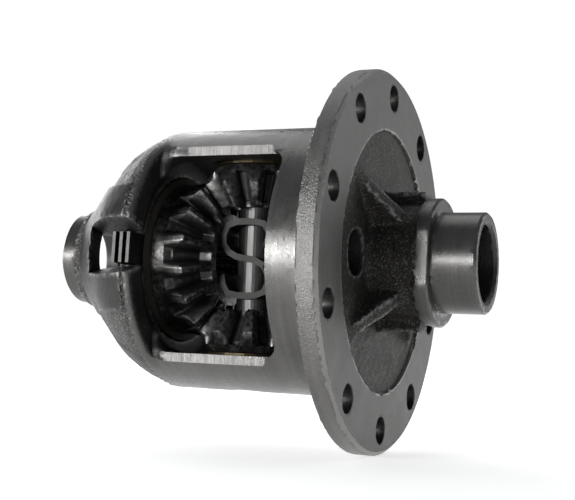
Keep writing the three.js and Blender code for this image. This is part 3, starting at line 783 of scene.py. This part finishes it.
def gear(name, kind, phase, plain, place, material):
    """Bevel gear with involute teeth, closed by plain rings.

    A ring is its distance from the apex, its radius and whether it is splined.
    """
    teeth = GEARS[kind][0]
    profile, pitch_cone = tooth_profile(kind)
    step = 2 * math.pi / teeth
    turns = np.array([phase + step * i + turn for i in range(teeth) for turn, _ in profile])
    heights = np.array([height for _ in range(teeth) for _, height in profile])

    def toothed(distance, less=0.0):
        cone = pitch_cone + np.arctan((heights - less) / CONE_DISTANCE)
        ray = distance / np.cos(cone - pitch_cone)
        return place(ray * np.cos(cone), ray * np.sin(cone), turns)

    toe, heel = CONE_DISTANCE - FACE_WIDTH, CONE_DISTANCE
    rings = [toothed(toe, END_DROP), toothed(toe + END_EASE),
             toothed(heel - END_EASE), toothed(heel, END_DROP)]
    start = turns[0] - phase
    even = phase + np.linspace(start, start + 2 * math.pi, len(turns), endpoint=False)
    for along, r, splined in plain:
        radius = np.full(len(even), float(r))
        if splined:
            wave = np.clip(np.cos(even * SPLINES) * 2.2, -1, 1)
            radius += SPLINE_DEPTH * wave / 2 + SPLINE_DEPTH / 2
        rings.append(place(np.full(len(even), float(along)), radius, even if splined else turns))
    return loop_mesh(name, rings, material)


# The gears, steel plates, shaft and spring inside the case get very dark colours: painted shade of
# the hollow they sit in.
gear_steel = metal("gear_steel", 0.022, 0.05, 0.34, grain=0.4, bump=0.05, edge_wear_and_highlight=0.22, stain=9)
lining = metal("friction_lining", 0.012, 0.025, 0.8, metallic=0.1, grain=0.25, bump=0.2,
               warmth=0.22, lines="radius", line_size=1.2)
plate_steel = metal("plate_steel", 0.018, 0.035, 0.36, lines="radius", bump=0.04, line_size=0.5)
shaft_steel = metal("shaft_steel", 0.035, 0.06, 0.36, bump=0.03, grain=0.3, warmth=0.01)
bolt_steel = metal("bolt_steel", 0.05, 0.09, 0.42, bump=0.06, grain=0.3, edge_wear_and_highlight=0.3)
washer_bronze = metal("washer_bronze", 0.03, 0.055, 0.4, bump=0.05, warmth=0.3)
spring_steel = metal("spring_steel", 0.012, 0.025, 0.5, bump=0.05)


def side_gear(side, name):
    """Gear on the axle axis: teeth, back, hub and splined bore."""
    def place(along, r, angle):
        return np.stack([GEAR_CENTRE + side * along, r * np.cos(angle), r * np.sin(angle)], 1)

    back, back_r, hub, end, bore, toe = 38.3, 36.6, 22.6, 60.0, 15.2, 14
    plain = [
        (back - 7, back_r, False), (back - 0.6, back_r, False), (back, back_r - 0.6, False),
        (back, hub + 1, False), (back + 0.3, hub, False), (end - 0.8, hub, False),
        (end, hub - 0.8, False), (end, bore + 1.9, False), (end - 1.2, bore, True),
        (toe + 1.4, bore, True), (toe, bore + 1.7, False), (toe, 22, False),
    ]
    tooth_up = math.pi / 2 + math.pi / GEARS["side"][0]
    return gear(name, "side", tooth_up, plain, place, gear_steel)


def pinion_gear(side, name):
    """Gear on the cross shaft: teeth, rounded back and plain bore."""
    def place(along, r, angle):
        return np.stack([GEAR_CENTRE + r * np.cos(angle), r * np.sin(angle), side * along], 1)

    back, back_r, bore, toe = 44, 24, 9.7, 24.5
    plain = [
        (back - 3.4, back_r, False), (back - 0.2, 21.2, False), (back, 20.8, False),
        (back, bore + 0.8, False), (back - 0.8, bore, False), (toe + 0.8, bore, False),
        (toe, bore + 0.8, False), (toe, 12.8, False),
    ]
    return gear(name, "pinion", 0.0, plain, place, gear_steel)


CASE_CELL = 1.38
case = build_case(CASE_CELL)
for look in CASE_LOOKS:
    case.data.materials.append(look)
smooth(case.data, 38)
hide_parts("case")
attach(case, "case")

for word, side in (("left", -1), ("right", 1)):
    piece = side_gear(side, f"side_gear_{word}_fine")
    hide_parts(f"side_gear_{word}")
    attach(piece, f"{word}_side_gear")
for word, side in (("bottom", -1), ("top", 1)):
    piece = pinion_gear(side, f"pinion_gear_{word}_fine")
    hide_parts(f"pinion_gear_{word}")
    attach(piece, f"{word}_pinion")


def soften(piece, width):
    """Rounded edges on a CAD piece, by a modifier that leaves its mesh alone."""
    bevel = piece.modifiers.new("soft_edges", "BEVEL")
    bevel.width = width * MM
    bevel.segments = 2
    bevel.limit_method = "ANGLE"
    bevel.angle_limit = math.radians(40)


NODE_LOOKS = {
    "friction_plate": (lining, 0.15),
    "steel_plate": (plate_steel, 0.2),
    "shim": (plate_steel, 0.12),
    "pinion_washer": (washer_bronze, 0.2),
    "cross_shaft": (shaft_steel, 0.25),
    "lock_bolt": (bolt_steel, 0.35),
    "preload_spring": (spring_steel, 0.4),
}
for name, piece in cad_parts.items():
    for start, (look, width) in NODE_LOOKS.items():
        if name.startswith(start):
            for holder in piece.material_slots:
                holder.material = look
            soften(piece, width)


# ---------------------------------------------------------------- camera, light and floor

def aimed(place, target):
    """Matrix of a light or camera at place that looks at target."""
    place, target = Vector(place), Vector(target)
    turn = (target - place).to_track_quat("-Z", "Y").to_matrix().to_4x4()
    return Matrix.Translation(place) @ turn


camera_data = bpy.data.cameras.new("camera")
camera_data.lens = 70.857
camera_data.sensor_width = 36
camera = bpy.data.objects.new("camera", camera_data)
camera.matrix_world = Matrix((
    (0.91881, -0.00849, 0.39462, 0.2199),
    (0.39253, -0.08302, -0.91598, -0.4925),
    (0.04055, 0.99651, -0.07295, -0.0340),
    (0, 0, 0, 1),
))
bpy.context.scene.collection.objects.link(camera)
bpy.context.scene.camera = camera
bpy.context.scene.view_settings.view_transform = "Standard"


def softbox(name, place, size, power, target=(0, 0, 0)):
    data = bpy.data.lights.new(name, "AREA")
    data.shape = "RECTANGLE"
    data.size, data.size_y = size
    data.energy = power
    light = bpy.data.objects.new(name, data)
    light.matrix_world = aimed(place, target)
    light.visible_camera = False
    bpy.context.scene.collection.objects.link(light)


# Place and size in metres, then power in watts.
softbox("top_light", (-0.1, 0.45, 1.0), (1.2, 0.7), 3)
softbox("left_light", (-0.5, -1.12, 0.08), (0.45, 0.16), 13)
softbox("back_light", (0.85, 0.95, 0.25), (0.9, 0.9), 3)
softbox("rear_light", (-1.0, 0.9, 0.45), (0.8, 0.8), 9)

world = bpy.data.worlds.new("studio")
world.use_nodes = True
nodes, links = world.node_tree.nodes, world.node_tree.links
seen = nodes["Background"]
seen.inputs["Color"].default_value = (1, 1, 1, 1)
seen.inputs["Strength"].default_value = 1.05
lit = nodes.new("ShaderNodeBackground")
lit.inputs["Color"].default_value = (0.93, 0.97, 1, 1)
lit.inputs["Strength"].default_value = 0.22
pick = nodes.new("ShaderNodeMixShader")
links.new(nodes.new("ShaderNodeLightPath").outputs["Is Camera Ray"], pick.inputs[0])
links.new(lit.outputs[0], pick.inputs[1])
links.new(seen.outputs[0], pick.inputs[2])
links.new(pick.outputs[0], nodes["World Output"].inputs["Surface"])
bpy.context.scene.world = world

floor_mesh = bpy.data.meshes.new("floor")
FLOOR_HALF, FLOOR_GAP = 6.0, 0.0004
level = -FLANGE_R * MM - FLOOR_GAP
corners = [(x * FLOOR_HALF, y * FLOOR_HALF, level) for x, y in ((-1, -1), (1, -1), (1, 1), (-1, 1))]
floor_mesh.from_pydata(corners, [], [(0, 1, 2, 3)])
floor = bpy.data.objects.new("floor", floor_mesh)
bpy.context.scene.collection.objects.link(floor)
paper = bpy.data.materials.new("paper")
paper.use_nodes = True
nodes, links = paper.node_tree.nodes, paper.node_tree.links
sheet = nodes["Principled BSDF"]
sheet.inputs["Base Color"].default_value = (0.85, 0.85, 0.85, 1)
sheet.inputs["Roughness"].default_value = 0.9
sheet.inputs["Emission Color"].default_value = (1, 1, 1, 1)
away = nodes.new("ShaderNodeVectorMath")
away.operation = "LENGTH"
links.new(nodes.new("ShaderNodeTexCoord").outputs["Object"], away.inputs[0])
# The glow grows from 0.6 to 1.1 between 0.2 and 1.1 metres from the middle.
glow = spread(nodes, links, away.outputs["Value"], 0.2, 1.1, 0.6, 1.1)
links.new(glow, sheet.inputs["Emission Strength"])
floor_mesh.materials.append(paper)
floor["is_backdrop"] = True

boxes = {"cad": cad_box, "visual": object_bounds()}
{name: [list(corner) for corner in box] for name, box in boxes.items()}
